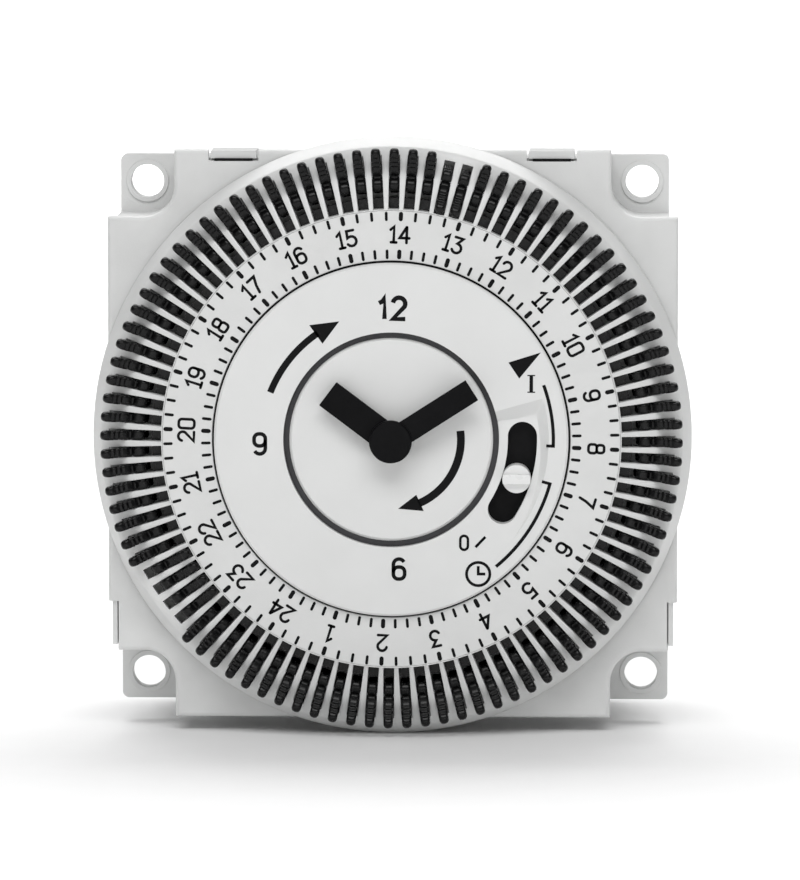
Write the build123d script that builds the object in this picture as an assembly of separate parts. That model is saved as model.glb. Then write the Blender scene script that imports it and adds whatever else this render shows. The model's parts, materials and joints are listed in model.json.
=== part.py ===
from build123d import *
import os
from math import acos, atan2, cos, degrees, hypot, pi, radians, sin, tan

# Programmable timer: a 24-hour segment time switch with a quartz stepper drive.
# Millimetres. +Z is up and the dial faces -Y. The origin is the centre of the four mounting holes,
# on the back plane of the ears. The dial, the hands and every arbor turn about lines parallel to Y.
# Depths are Y values: a more negative depth is nearer the front. Clock angles run clockwise from
# the top as seen from the front, and polar() turns one into an (x, z) point.

# ---- housing and frame ----
HOLE_SPACING = 60.0  # square pattern of mounting screws
HOLE_R = 2.0
EAR_HALF = 33.25  # half side of the ear flange and of the box in front of it
EAR_T = 2.5
FRAME_HALF = 34.3  # half side of the front frame
FRAME_FRONT = -12.0
FRAME_BACK = -10.2
NOTCH_R = 3.75  # corner notches run round the screw holes at this radius
NOTCH_EDGE = HOLE_SPACING / 2 - NOTCH_R
REAR_HALF = 31.0  # half side of the box behind the ears
HOUSING_BACK = 21.0
WALL = 1.6
POST = 23.5  # the housing's four screw posts stand at (+-POST, +-POST)
POST_R = 2.4
SCREW_R = 1.0
CLIP_X = 19.1  # top clips
CLIP_W = 5.5
SIDE_CLIP_Z = -22.9
SIDE_CLIP_H = 5.3
BOSS_T = 0.55  # raised rim round each ear hole
BOSS_H = 0.25
CLIP_PROUD = 0.95
SIDE_CLIP_PROUD = 0.6
COLLAR_HALF_W = 4.6  # moulded collars round the spade terminals
COLLAR_HALF_T = 1.9
COLLAR_H = 1.2
SPADE_CLEAR = 0.1
FRAME_EDGE = 0.6
FRAME_OPENING_R = 24.0
NOSE_HOLE_R = 1.4
LIP_T = 1.2  # locating lip behind the front frame
LIP_BACK = -8.6

# ---- dial ----
DIAL_R = 36.0
DIAL_BACK = -12.4
RING_FRONT = -17.8  # printed number ring
RING_T = 0.8
RING_IN_R = 21.45
SLOT_COUNT = 96  # one tappet per quarter of an hour
SLOT_PITCH = 360 / SLOT_COUNT
SLOT_PHASE = 0.625  # clock angle of the first slot
SLOT_IN_R = 27.5
SLOT_OUT_R = 33.95
SLOT_W = 1.3
CONE_BACK = -15.5  # depth of the slotted cone at its outer edge
RIB_BACK = -14.2

# ---- tappets ----
TAPPET_T = 1.13
PIVOT_R = 31.25
PIVOT_Y = -15.0
PIVOT_WIRE_R = 0.4
TAPPET_TILT = 48.0  # each way from straight ahead
TAPPET_HUB_R = 1.7
FINGER_R = 0.8  # half width and tip radius of the finger
FINGER_LENGTH = 3.9  # pivot to the centre of the tip
TAIL_R = 0.4
TAIL_LENGTH = 2.1
RIDGE_R = 0.22  # finger grooves: radius, first place along the finger, and pitch
RIDGE_START = 2.05
RIDGE_PITCH = 0.68
CARRIER_IN_R = 27.4
CARRIER_OUT_R = 28.8
CARRIER_BACK = -13.5
CARRIER_FRONT = -15.6
IN_SLOTS = (3, 4, 61, 62, 63, 64)  # 13:00 to 13:30 and 22:00 to 23:00
OUT_SLOTS_JOINTED = (1, 2, 5, 6, 60, 65)  # neighbours of the programmed periods

# ---- centre face, hands and slide ----
FACE_R = 21.2
FACE_FRONT = -18.6
FACE_STEP = -17.3  # back of the thin outer band
FACE_BACK = -16.4
DISH_R = 12.2
DISH_FRONT = -18.0
DISH_HOLE_R = 12.9
SLIDE_R = 15.7
SLIDE_SLOT_R = 1.745
SLIDE_AUTO = 107.1  # clock angles of the knob
SLIDE_ON = 88.6
SLIDE_OFF = 122.0
KNOB_R = 1.7
RECESS_DEPTH = 1.2
SLIDE_T = 1.0
SLIDE_FRONT = -16.2
KNOB_FRONT = -18.9
KNOB_PEG_R = 0.8
GRIP_T = 1.2
GRIP_H = 0.6
LEG_BACK = -6.8
HOUR_TUBE_R = 1.5
MINUTE_ARBOR_R = 0.8
HOUR_HAND = (3.45, 9.4, 2.4)  # width, length and hub radius
MINUTE_HAND = (2.8, 11.5, 2.55)
HOUR_HAND_Y = (-19.2, -19.9)  # back and front depths
MINUTE_HAND_Y = (-20.3, -20.9)
CAP_FRONT = -21.3
HOUR_ANGLE = 306.9
MINUTE_ANGLE = 57.4

# ---- movement ----
TOWER_R = 19.4  # the dial turns on this collar
TOWER_IN_R = 18.2
FIT = 0.05  # radial running clearance
PLATE_FRONT = -9.0
PLATE_BACK = -7.6
PLATE_HALF = 26.5
REAR_PLATE_FRONT = 3.0
REAR_PLATE_BACK = 4.2
PIVOT_PIN_R = 0.5
PIVOT_SINK = 0.9  # depth of the blind bearing holes in the front plate
PILLAR_R = 1.6
PILLAR_PEG_R = 0.8
STUD_R = 1.6
STUD_PEG_R = 0.9
PLATE_SCREW_HEAD_R = 1.9
PLATE_SCREW_HEAD_T = 1.1
PLATE_SCREW_END = 3.0
BOARD_STUDS = ((-18, -10), (12, -13), (12, 13))
ARBOR_BACK = 2.6
PRESSURE = 25.0  # gear pressure angle
ADDENDUM = 0.7  # in modules
DEDENDUM = 1.0

RING_TEETH, DRIVE_TEETH, DRIVE_MODULE = 84, 14, 0.5  # dial ring gear and its pinion
HOUR_TEETH, MOTION_PINION_TEETH, HOUR_MODULE = 36, 12, 0.5
MOTION_TEETH, CANNON_TEETH, MOTION_MODULE = 48, 12, 0.4
CENTRE_TEETH, THIRD_PINION_TEETH, CENTRE_MODULE = 60, 8, 0.3
THIRD_TEETH, ROTOR_TEETH, THIRD_MODULE = 64, 8, 0.25
COARSE_BACKLASH = 0.10
FINE_BACKLASH = 0.07

HOUR_LEVEL = (-6.0, -7.0)  # back and front depth of each layer of gears
MOTION_LEVEL = (-4.4, -5.4)
CENTRE_LEVEL = (-2.6, -3.4)
THIRD_LEVEL = (-1.0, -1.6)
DRIVE_LEVEL = (-12.9, -14.4)
RING_LEVEL = (-12.7, -14.7)

# ---- board, motor and switch ----
BOARD_FRONT = 6.4
BOARD_BACK = 8.0
MARKER_ANGLE = 59.5  # the time is read, and the tails are sensed, here
NOSE_R = 33.2
LEVER_PIVOT_Y = -5.85
LEVER_PIVOT_Z = -10.0
SPADE_W = 6.3
SPADE_T = 0.8
SPADE_END = 29.0
SWITCH_X = 24.0
SPADES_AT = ((SWITCH_X, 15.0), (SWITCH_X, 4.0), (SWITCH_X, -11.0), (-14.0, 14.0), (-14.0, 4.0))
CONTACT_Z = 13.0
CONTACT_R = 1.4
STRIP_HALF = 1.5
LEVER_HALF_T = 0.65
LEVER_X = (25.3, 27.6)
LEVER_PIN_R = 0.8
LEVER_HUB_R = 1.6
NOSE_TIP_R = 0.6
NOSE_FRONT = -12.6
BLADE_Y = (-2.3, -2.6)
BLADE_X = 26.5
STRIP_X = (BLADE_X - STRIP_HALF, BLADE_X + STRIP_HALF)


def polar(r, clock):
    return (r * sin(radians(clock)), r * cos(radians(clock)))


def slab(outline, back, front):
    """Solid between two depths from an outline drawn in (x, z)."""
    return extrude(Plane.XZ.offset(-back) * outline, amount=back - front, dir=(0, -1, 0))


def disc(x, z, r, back, front):
    return slab(Pos(x, z) * Circle(r), back, front)


def tube(x, z, r_out, r_in, back, front):
    return slab(Pos(x, z) * (Circle(r_out) - Circle(r_in)), back, front)


def block(x, z, back, front):
    """Box over the ranges x = (low, high) and z = (low, high)."""
    outline = Pos((x[0] + x[1]) / 2, (z[0] + z[1]) / 2) * Rectangle(x[1] - x[0], z[1] - z[0])
    return slab(outline, back, front)


def turned(points):
    """Solid of revolution about Y from (radius, depth) points."""
    return revolve(make_face(Polyline(*points, close=True)), Axis.Y)


def sector(r_in, r_out, start, end):
    middle = (start + end) / 2
    outline = [
        Line(polar(r_in, start), polar(r_out, start)),
        ThreePointArc(polar(r_out, start), polar(r_out, middle), polar(r_out, end)),
        Line(polar(r_out, end), polar(r_in, end)),
        ThreePointArc(polar(r_in, end), polar(r_in, middle), polar(r_in, start)),
    ]
    return make_face(outline)


def arc_slot(r, half_width, start, end):
    return SlotArc(CenterArc((0, 0), r, 90 - end, end - start), 2 * half_width)


def notched_square(half, notch_r=NOTCH_R):
    """Square whose corners are cut away round the mounting screws."""
    hole = HOLE_SPACING / 2
    reach = half + 1 - hole
    outline = Rectangle(2 * half, 2 * half)
    for x in (-1, 1):
        for z in (-1, 1):
            across = Pos(x * (hole + (reach - notch_r) / 2), z * (hole + reach / 2))
            upright = Pos(x * (hole + reach / 2), z * (hole + (reach - notch_r) / 2))
            outline -= Pos(x * hole, z * hole) * Circle(notch_r)
            outline -= across * Rectangle(reach + notch_r, reach)
            outline -= upright * Rectangle(reach, reach + notch_r)
    return outline


def gear_outline(module, teeth, phase, backlash, addendum=ADDENDUM, dedendum=DEDENDUM):
    """Involute gear, with one tooth centred at the angle phase (degrees, anticlockwise from +X)."""
    pitch_r = module * teeth / 2
    base_r = pitch_r * cos(radians(PRESSURE))
    tip_r = pitch_r + addendum * module
    root_r = pitch_r - dedendum * module
    pitch_half = pi / (2 * teeth) - backlash / (4 * pitch_r)

    def involute(angle):
        return tan(angle) - angle

    def half_angle(r):
        return pitch_half + involute(radians(PRESSURE)) - involute(acos(min(1, base_r / r)))

    low = max(base_r, root_r)
    radii = [low + (tip_r - low) * step / 3 for step in range(4)]
    flank = [(r, half_angle(r)) for r in radii]
    if root_r < low:
        flank.insert(0, (root_r, flank[0][1]))
    points = []
    for tooth in range(teeth):
        centre = radians(phase) + tooth * 2 * pi / teeth
        side = [(r, centre - half) for r, half in flank]
        side += [(r, centre + half) for r, half in reversed(flank)]
        points += [(r * cos(a), r * sin(a)) for r, a in side]
    return make_face(Polyline(*points, close=True))


def meshing_phase(driver_phase, driver_teeth, teeth, direction):
    """Phase of a gear that meshes with a driver lying in the opposite of the given direction."""
    off = (driver_phase - direction) % (360 / driver_teeth)
    return direction + 180 - off * driver_teeth / teeth + 180 / teeth


def direction(start, end):
    """Angle of the line from start to end, anticlockwise from +X."""
    return degrees(atan2(end[1] - start[1], end[0] - start[0]))


# ---- arbor positions, (x, z) ----
DRIVE_DISTANCE = DRIVE_MODULE * (RING_TEETH - DRIVE_TEETH) / 2
MOTION_DISTANCE = MOTION_MODULE * (MOTION_TEETH + CANNON_TEETH) / 2
TRANSFER_DISTANCE = HOUR_MODULE * MOTION_PINION_TEETH
DRIVE_ANGLE = 250.0
DRIVE_TO_MOTION = degrees(
    acos(
        (DRIVE_DISTANCE**2 + MOTION_DISTANCE**2 - TRANSFER_DISTANCE**2)
        / (2 * DRIVE_DISTANCE * MOTION_DISTANCE)
    )
)
DRIVE_AT = polar(DRIVE_DISTANCE, DRIVE_ANGLE)
MOTION_AT = polar(MOTION_DISTANCE, DRIVE_ANGLE - DRIVE_TO_MOTION)
THIRD_AT = polar(CENTRE_MODULE * (CENTRE_TEETH + THIRD_PINION_TEETH) / 2, 300.0)
ROTOR_AT = polar(hypot(*THIRD_AT) + THIRD_MODULE * (THIRD_TEETH + ROTOR_TEETH) / 2, 300.0)
CENTRE = (0.0, 0.0)
PILLARS = ((-17, -17), (13, -17), (13, 17), (-4, 19))
NOSE_AT = polar(NOSE_R, MARKER_ANGLE)

# ---- gear phases at rest, each taken from the gear before it ----
MOTION_PINION_PHASE = 0.0
MOTION_WHEEL_PHASE = 0.0
HOUR_PHASE = meshing_phase(
    MOTION_PINION_PHASE, MOTION_PINION_TEETH, HOUR_TEETH, direction(MOTION_AT, CENTRE)
)
CANNON_PHASE = meshing_phase(
    MOTION_WHEEL_PHASE, MOTION_TEETH, CANNON_TEETH, direction(MOTION_AT, CENTRE)
)
TRANSFER_PHASE = meshing_phase(
    MOTION_PINION_PHASE, MOTION_PINION_TEETH, MOTION_PINION_TEETH, direction(MOTION_AT, DRIVE_AT)
)
DRIVE_PHASE = direction(CENTRE, DRIVE_AT)  # a tooth of the pinion stands in a space of the ring
RING_PHASE = DRIVE_PHASE
THIRD_PINION_PHASE = meshing_phase(0.0, CENTRE_TEETH, THIRD_PINION_TEETH, direction(CENTRE, THIRD_AT))
ROTOR_PHASE = meshing_phase(0.0, THIRD_TEETH, ROTOR_TEETH, direction(THIRD_AT, ROTOR_AT))


# ---- housing ----
def rear_housing():
    """Moulded box, open at the front, with the ear flange, posts, clips and terminal slots."""
    floor = HOUSING_BACK - WALL
    body = slab(notched_square(EAR_HALF), 0, FRAME_BACK)
    body += slab(notched_square(REAR_HALF), HOUSING_BACK, 0)
    edge = WALL / 2
    body = chamfer(body.faces().sort_by(Axis.Y)[-1].edges(), edge)
    body += slab(RectangleRounded(2 * EAR_HALF, 2 * EAR_HALF, edge), 0, -EAR_T)
    body -= slab(notched_square(EAR_HALF - WALL, NOTCH_R + WALL), -EAR_T, FRAME_BACK)
    body -= slab(notched_square(REAR_HALF - WALL, NOTCH_R + WALL), floor, -EAR_T)
    for x, z in corners(POST):
        body += tube(x, z, POST_R, SCREW_R + FIT, floor, PLATE_BACK)
    for x, z in corners(HOLE_SPACING / 2):
        body -= disc(x, z, HOLE_R, 1, -EAR_T - 1)
        body += tube(x, z, HOLE_R + BOSS_T, HOLE_R, -EAR_T, -EAR_T - BOSS_H)
    for x in (-CLIP_X, CLIP_X):
        tongue = (x - CLIP_W / 2, x + CLIP_W / 2)
        body += block(tongue, (EAR_HALF, EAR_HALF + CLIP_PROUD), -5.5, -11.7)
    for side in (-1, 1):
        low, high = sorted((side * EAR_HALF, side * (EAR_HALF + SIDE_CLIP_PROUD)))
        span = (SIDE_CLIP_Z - SIDE_CLIP_H / 2, SIDE_CLIP_Z + SIDE_CLIP_H / 2)
        body += block((low, high), span, -6.0, -11.6)
    for x, z in SPADES_AT:
        half_w, half_t = SPADE_W / 2 + SPADE_CLEAR, SPADE_T / 2 + SPADE_CLEAR
        collar = (x - COLLAR_HALF_W, x + COLLAR_HALF_W), (z - COLLAR_HALF_T, z + COLLAR_HALF_T)
        body += block(*collar, HOUSING_BACK + COLLAR_H, HOUSING_BACK)
        body -= block((x - half_w, x + half_w), (z - half_t, z + half_t), HOUSING_BACK + 2, floor - 1)
    return body


def corners(offset):
    return [(x, z) for x in (-offset, offset) for z in (-offset, offset)]


def front_frame():
    """Front plate with the dial's opening, the clip notches and a locating lip."""
    plate = slab(notched_square(FRAME_HALF), FRAME_BACK, FRAME_FRONT)
    front = plate.faces().sort_by(Axis.Y)[0]
    plate = fillet(front.edges(), FRAME_EDGE)
    lip_outer = EAR_HALF - WALL - 0.1
    lip_half = 20.0
    for turn in (0, 90, 180, 270):
        lip = block((-lip_half, lip_half), (lip_outer - LIP_T, lip_outer), LIP_BACK, FRAME_BACK)
        plate += Rot(0, turn, 0) * lip
    plate -= disc(0, 0, FRAME_OPENING_R, FRAME_BACK + 1, FRAME_FRONT - 1)
    plate -= disc(*NOSE_AT, NOSE_HOLE_R, FRAME_BACK + 1, FRAME_FRONT - 1)
    through = (FRAME_BACK + 1, FRAME_FRONT - 1)
    notch_half = CLIP_W / 2 + 0.25
    for x in (-CLIP_X, CLIP_X):
        notch = (x - notch_half, x + notch_half), (FRAME_HALF - 1.3, FRAME_HALF + 1)
        plate -= block(*notch, *through)
    relief_top = SIDE_CLIP_Z + SIDE_CLIP_H / 2
    for side in (-1, 1):
        low, high = sorted((side * (FRAME_HALF - 1.2), side * (FRAME_HALF + 1)))
        plate -= block((low, high), (-NOTCH_EDGE - 1, relief_top), *through)
    return plate


# ---- dial ----
def slot_angle(index):
    return SLOT_PHASE + SLOT_PITCH * index


def dial_cap():
    """Slotted cone and rim that carry the tappets."""
    cap = turned(
        [
            (26.65, RIB_BACK),
            (26.65, RING_FRONT + RING_T),
            (SLOT_IN_R - 0.08, RING_FRONT + RING_T),
            (SLOT_IN_R - 0.08, RING_FRONT),
            (34.35, CONE_BACK),
            (34.75, -15.35),
            (35.65, -13.7),
            (DIAL_R, -13.0),
            (DIAL_R, DIAL_BACK),
            (34.9, DIAL_BACK),
            (34.9, RIB_BACK),
        ]
    )
    groove = PIVOT_WIRE_R + 0.02
    cap -= turned(
        [
            (PIVOT_R - groove, RIB_BACK + 0.1),
            (PIVOT_R + groove, RIB_BACK + 0.1),
            (PIVOT_R + groove, PIVOT_Y - groove),
            (PIVOT_R - groove, PIVOT_Y - groove),
        ]
    )
    slot = block((-SLOT_W / 2, SLOT_W / 2), (SLOT_IN_R, SLOT_OUT_R), RIB_BACK + 1, RING_FRONT - 1)
    return cap - [Rot(0, slot_angle(index), 0) * slot for index in range(SLOT_COUNT)]


def number_ring():
    return turned(
        [
            (RING_IN_R, RING_FRONT),
            (SLOT_IN_R - 0.1, RING_FRONT),
            (SLOT_IN_R - 0.1, RING_FRONT + RING_T),
            (RING_IN_R, RING_FRONT + RING_T),
        ]
    )


def dial_base():
    """Back half of the dial: bearing bore at the front, internal ring gear at the back."""
    pitch_r = DRIVE_MODULE * RING_TEETH / 2
    root_r = pitch_r + DEDENDUM * DRIVE_MODULE
    bore = TOWER_R + FIT
    base = turned(
        [
            (bore, RING_FRONT + RING_T),
            (26.6, RING_FRONT + RING_T),
            (26.6, RIB_BACK),
            (27.3, RIB_BACK),
            (27.3, -13.4),
            (25.4, -13.4),
            (25.4, -15.8),
            (23.2, -15.8),
            (23.2, RING_LEVEL[0]),
            (root_r + 0.1, RING_LEVEL[0]),
            (root_r + 0.1, -14.9),
            (bore, -14.9),
        ]
    )
    teeth = gear_outline(
        DRIVE_MODULE, RING_TEETH, RING_PHASE, -COARSE_BACKLASH, addendum=DEDENDUM, dedendum=ADDENDUM
    )
    return base + slab(Circle(root_r + 0.4) - teeth, *RING_LEVEL)


def tappet_pivot_ring():
    profile = Plane.XY * Pos(PIVOT_R, PIVOT_Y) * Circle(PIVOT_WIRE_R)
    return revolve(profile, Axis.Y)


def tappet_carrier():
    """Black ring behind the slots, with a block in the inner end of each slot."""
    ring = tube(0, 0, CARRIER_OUT_R, CARRIER_IN_R, CARRIER_BACK, RIB_BACK + FIT)
    half = SLOT_W / 2 - FIT
    step = block((-half, half), (SLOT_IN_R + FIT, CARRIER_OUT_R), RIB_BACK + 2 * FIT, CARRIER_FRONT)
    return ring + [Rot(0, slot_angle(index), 0) * step for index in range(SLOT_COUNT)]


def tappet(index, tilt):
    """Rocking tappet: hub, grooved finger and short tail, cut from one flat shape."""
    shape = Circle(TAPPET_HUB_R)
    shape += Pos(0, FINGER_LENGTH / 2) * Rectangle(2 * FINGER_R, FINGER_LENGTH)
    shape += Pos(0, FINGER_LENGTH) * Circle(FINGER_R)
    shape += Pos(0, -TAIL_LENGTH / 2) * Rectangle(2 * TAIL_R, TAIL_LENGTH)
    shape += Pos(0, -TAIL_LENGTH) * Circle(TAIL_R)
    shape -= Circle(PIVOT_WIRE_R + FIT)
    for groove in range(4):
        along = RIDGE_START + RIDGE_PITCH * groove
        for side in (-1, 1):
            shape -= Pos(side * (FINGER_R + 0.08), along) * Circle(RIDGE_R)
    at = Plane(origin=(-TAPPET_T / 2, PIVOT_Y, PIVOT_R), x_dir=(0, 0, 1), z_dir=(1, 0, 0))
    body = extrude(at * Rot(0, 0, tilt) * shape, amount=TAPPET_T, dir=(1, 0, 0))
    return Rot(0, slot_angle(index), 0) * body


# ---- centre face, hands and slide ----
def recess():
    """Sloped pocket round the slide: deepest at its top end, running out at its lower end."""
    top = Plane.XZ.offset(-FACE_FRONT) * sector(DISH_R, 18.85, 74.5, 140.0)
    floor_depth = FACE_FRONT + RECESS_DEPTH
    bottom = Plane.XZ.offset(-floor_depth) * sector(DISH_R, 17.65, 80.5, 140.0)
    pocket = loft([top, bottom])
    deep, run_out = polar(15.4, 80.5), polar(15.4, 135.0)
    run = (run_out[0] - deep[0], run_out[1] - deep[1])
    length_squared = run[0] ** 2 + run[1] ** 2
    normal = (-RECESS_DEPTH * run[0] / length_squared, -1, -RECESS_DEPTH * run[1] / length_squared)
    ramp = Plane(
        origin=(deep[0], floor_depth, deep[1]), x_dir=(run[0], -RECESS_DEPTH, run[1]), z_dir=normal
    )
    return pocket & (ramp * Pos(0, 0, 10) * Box(80, 80, 20))


def face_plate():
    plate = turned(
        [
            (DISH_HOLE_R, FACE_FRONT),
            (FACE_R - 0.25, FACE_FRONT),
            (FACE_R, FACE_FRONT + 0.25),
            (FACE_R, FACE_STEP),
            (TOWER_IN_R - 0.1, FACE_STEP),
            (TOWER_IN_R - 0.1, FACE_BACK),
            (DISH_HOLE_R, FACE_BACK),
        ]
    )
    plate -= recess()
    return plate - slab(arc_slot(SLIDE_R, SLIDE_SLOT_R, SLIDE_ON, SLIDE_OFF), FACE_BACK + 1, FACE_FRONT - 1)


def hand_dish():
    return turned(
        [
            (1.9, DISH_FRONT),
            (DISH_R - 0.3, DISH_FRONT),
            (DISH_R, DISH_FRONT + 0.3),
            (DISH_R, FACE_BACK),
            (13.7, FACE_BACK),
            (13.7, -15.6),
            (11.2, -15.6),
            (11.2, -16.8),
            (1.9, -16.8),
        ]
    )


def hand(width, length, angle, hub_r, bore_r, back, front):
    blade = Pos(0, length / 2) * Rectangle(width, length)
    shape = Rot(0, 0, -angle) * blade + Circle(hub_r) - Circle(bore_r)
    return slab(shape, back, front)


def hour_hand():
    width, length, hub_r = HOUR_HAND
    return hand(width, length, HOUR_ANGLE, hub_r, HOUR_TUBE_R, *HOUR_HAND_Y)


def minute_hand():
    width, length, hub_r = MINUTE_HAND
    blade = hand(width, length, MINUTE_ANGLE, hub_r, MINUTE_ARBOR_R, *MINUTE_HAND_Y)
    cap = disc(0, 0, hub_r, MINUTE_HAND_Y[1], CAP_FRONT)
    return blade + chamfer(cap.faces().sort_by(Axis.Y)[0].edges(), 0.2)


def override_slide():
    """Black arc slide behind the face, with the leg that works the trip lever."""
    back = SLIDE_FRONT + SLIDE_T
    slide = slab(sector(13.95, 17.95, SLIDE_AUTO - 42, SLIDE_AUTO + 38), back, SLIDE_FRONT)
    leg = slab(sector(14.3, 16.3, SLIDE_AUTO - 5, SLIDE_AUTO + 5), LEG_BACK, back)
    x, z = polar(SLIDE_R, SLIDE_AUTO)
    return slide + leg - disc(x, z, KNOB_PEG_R, back + 0.3, SLIDE_FRONT - 0.1)


def override_knob():
    x, z = polar(SLIDE_R, SLIDE_AUTO)
    knob = disc(x, z, KNOB_R, SLIDE_FRONT, KNOB_FRONT)
    knob += disc(x, z, KNOB_PEG_R, SLIDE_FRONT + SLIDE_T, SLIDE_FRONT)
    grip = Pos(x, z) * Rectangle(2 * KNOB_R, GRIP_T) & Pos(x, z) * Circle(KNOB_R)
    return knob + slab(grip, KNOB_FRONT, KNOB_FRONT - GRIP_H)


def detent_spring():
    leaf = slab(sector(16.7, 18.1, 122, 142), -14.9, -15.05)
    return leaf + disc(*polar(17.4, 132), 0.4, -15.05, -15.15)


# ---- movement ----
def bearing_plate():
    """Front plate of the movement with the collar that the dial turns on."""
    plate = slab(RectangleRounded(2 * PLATE_HALF, 2 * PLATE_HALF, 3), PLATE_BACK, PLATE_FRONT)
    plate += tube(0, 0, TOWER_R, TOWER_IN_R, PLATE_FRONT, FACE_STEP)
    plate += tube(0, 0, TOWER_IN_R + 0.1, 16.6, -14.2, -14.9)
    plate += disc(*DRIVE_AT, 2.4, PLATE_FRONT, DRIVE_LEVEL[0] + 0.2)
    pinion_room = disc(*DRIVE_AT, 4.2, DRIVE_LEVEL[0] + 0.2, DRIVE_LEVEL[1] - 0.35)
    plate -= pinion_room
    plate -= disc(*DRIVE_AT, 1.2 + FIT, PLATE_BACK + 1, DRIVE_LEVEL[1])
    plate -= disc(0, 0, HOUR_TUBE_R + FIT, PLATE_BACK + 1, PLATE_FRONT - 1)
    window = sector(14.0, 16.6, SLIDE_ON - 6.5, SLIDE_OFF + 6.5)
    plate -= slab(window, PLATE_BACK + 1, PLATE_FRONT - 1)
    for x, z in (MOTION_AT, THIRD_AT, ROTOR_AT):
        plate -= disc(x, z, PIVOT_PIN_R + FIT, PLATE_BACK + 1, PLATE_BACK - PIVOT_SINK)
    for x, z in corners(POST):
        plate -= disc(x, z, SCREW_R + 0.1, PLATE_BACK + 1, PLATE_FRONT - 1)
    for x, z in PILLARS:
        plate -= disc(x, z, PILLAR_PEG_R, PLATE_BACK + 1, PLATE_BACK - PIVOT_SINK)
    return plate


def rear_plate():
    plate = block((-20.5, 15.5), (-20.5, 20.5), REAR_PLATE_BACK, REAR_PLATE_FRONT)
    plate = fillet(plate.edges().filter_by(Axis.Y), 2)
    for x, z in (CENTRE, MOTION_AT, THIRD_AT, ROTOR_AT):
        plate -= disc(x, z, PIVOT_PIN_R + FIT, REAR_PLATE_BACK + 1, REAR_PLATE_FRONT - 1)
    for x, z in PILLARS:
        plate -= disc(x, z, PILLAR_PEG_R, REAR_PLATE_BACK + 1, REAR_PLATE_FRONT - 1)
    for x, z in BOARD_STUDS:
        plate += disc(x, z, STUD_R, BOARD_FRONT, REAR_PLATE_BACK)
        plate += disc(x, z, STUD_PEG_R, BOARD_BACK + 0.6, BOARD_FRONT)
    return plate


def plate_pillars():
    """Four shouldered pillars that hold the two plates apart."""
    return [
        disc(x, z, PILLAR_R, REAR_PLATE_FRONT, PLATE_BACK)
        + disc(x, z, PILLAR_PEG_R, REAR_PLATE_BACK + 0.5, PLATE_BACK - PIVOT_SINK)
        for x, z in PILLARS
    ]


def plate_screws():
    """Four cross-head screws that hold the movement in the housing."""
    screws = []
    for x, z in corners(POST):
        screw = disc(x, z, PLATE_SCREW_HEAD_R, PLATE_FRONT, PLATE_FRONT - PLATE_SCREW_HEAD_T)
        screw += disc(x, z, SCREW_R, PLATE_SCREW_END, PLATE_FRONT)
        for bar in ((0.45, 2.2), (2.2, 0.45)):
            screw -= slab(Pos(x, z) * Rectangle(*bar), PLATE_FRONT - 0.5, PLATE_FRONT - 1.2)
        screws.append(screw)
    return screws


def minute_arbor():
    arbor = disc(0, 0, MINUTE_ARBOR_R, ARBOR_BACK, MINUTE_HAND_Y[1])
    arbor += disc(0, 0, PIVOT_PIN_R, REAR_PLATE_BACK + 0.4, ARBOR_BACK)
    arbor += disc(0, 0, HOUR_TUBE_R, MOTION_LEVEL[0] + 0.4, MOTION_LEVEL[0])
    return arbor + slab(
        gear_outline(MOTION_MODULE, CANNON_TEETH, CANNON_PHASE, COARSE_BACKLASH), *MOTION_LEVEL
    )


def clutch_spring():
    leaf = tube(0, 0, 2.4, MINUTE_ARBOR_R, -3.55, -3.7)
    return leaf + tube(0, 0, 1.4, MINUTE_ARBOR_R, -3.7, MOTION_LEVEL[0] + 0.4)


def hour_wheel():
    wheel = slab(gear_outline(HOUR_MODULE, HOUR_TEETH, HOUR_PHASE, COARSE_BACKLASH), *HOUR_LEVEL)
    wheel += disc(0, 0, HOUR_TUBE_R, HOUR_LEVEL[1], HOUR_HAND_Y[1])
    for spoke in range(4):
        wheel -= disc(*polar(5.2, 45 + 90 * spoke), 1.8, HOUR_LEVEL[0] + 1, HOUR_LEVEL[1] - 1)
    return wheel - disc(0, 0, MINUTE_ARBOR_R + FIT, HOUR_LEVEL[0] + 1, HOUR_HAND_Y[1] - 1)


def motion_wheel():
    x, z = MOTION_AT
    wheel = slab(
        Pos(x, z) * gear_outline(MOTION_MODULE, MOTION_TEETH, MOTION_WHEEL_PHASE, COARSE_BACKLASH),
        *MOTION_LEVEL,
    )
    for spoke in range(5):
        hole = polar(5.6, 72 * spoke)
        wheel -= disc(x + hole[0], z + hole[1], 2.1, MOTION_LEVEL[0] + 1, MOTION_LEVEL[1] - 1)
    wheel += slab(
        Pos(x, z) * gear_outline(HOUR_MODULE, MOTION_PINION_TEETH, MOTION_PINION_PHASE, COARSE_BACKLASH),
        MOTION_LEVEL[1],
        HOUR_LEVEL[1],
    )
    wheel += disc(x, z, 0.9, ARBOR_BACK, PLATE_BACK + 0.2)
    return wheel + disc(x, z, PIVOT_PIN_R, REAR_PLATE_BACK, PLATE_BACK - 0.7)


def dial_drive_gear():
    x, z = DRIVE_AT
    gear = slab(
        Pos(x, z) * gear_outline(HOUR_MODULE, MOTION_PINION_TEETH, TRANSFER_PHASE, COARSE_BACKLASH),
        *HOUR_LEVEL,
    )
    gear += slab(
        Pos(x, z) * gear_outline(DRIVE_MODULE, DRIVE_TEETH, DRIVE_PHASE, COARSE_BACKLASH), *DRIVE_LEVEL
    )
    return gear + disc(x, z, 1.2, HOUR_LEVEL[1], DRIVE_LEVEL[0])


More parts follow.
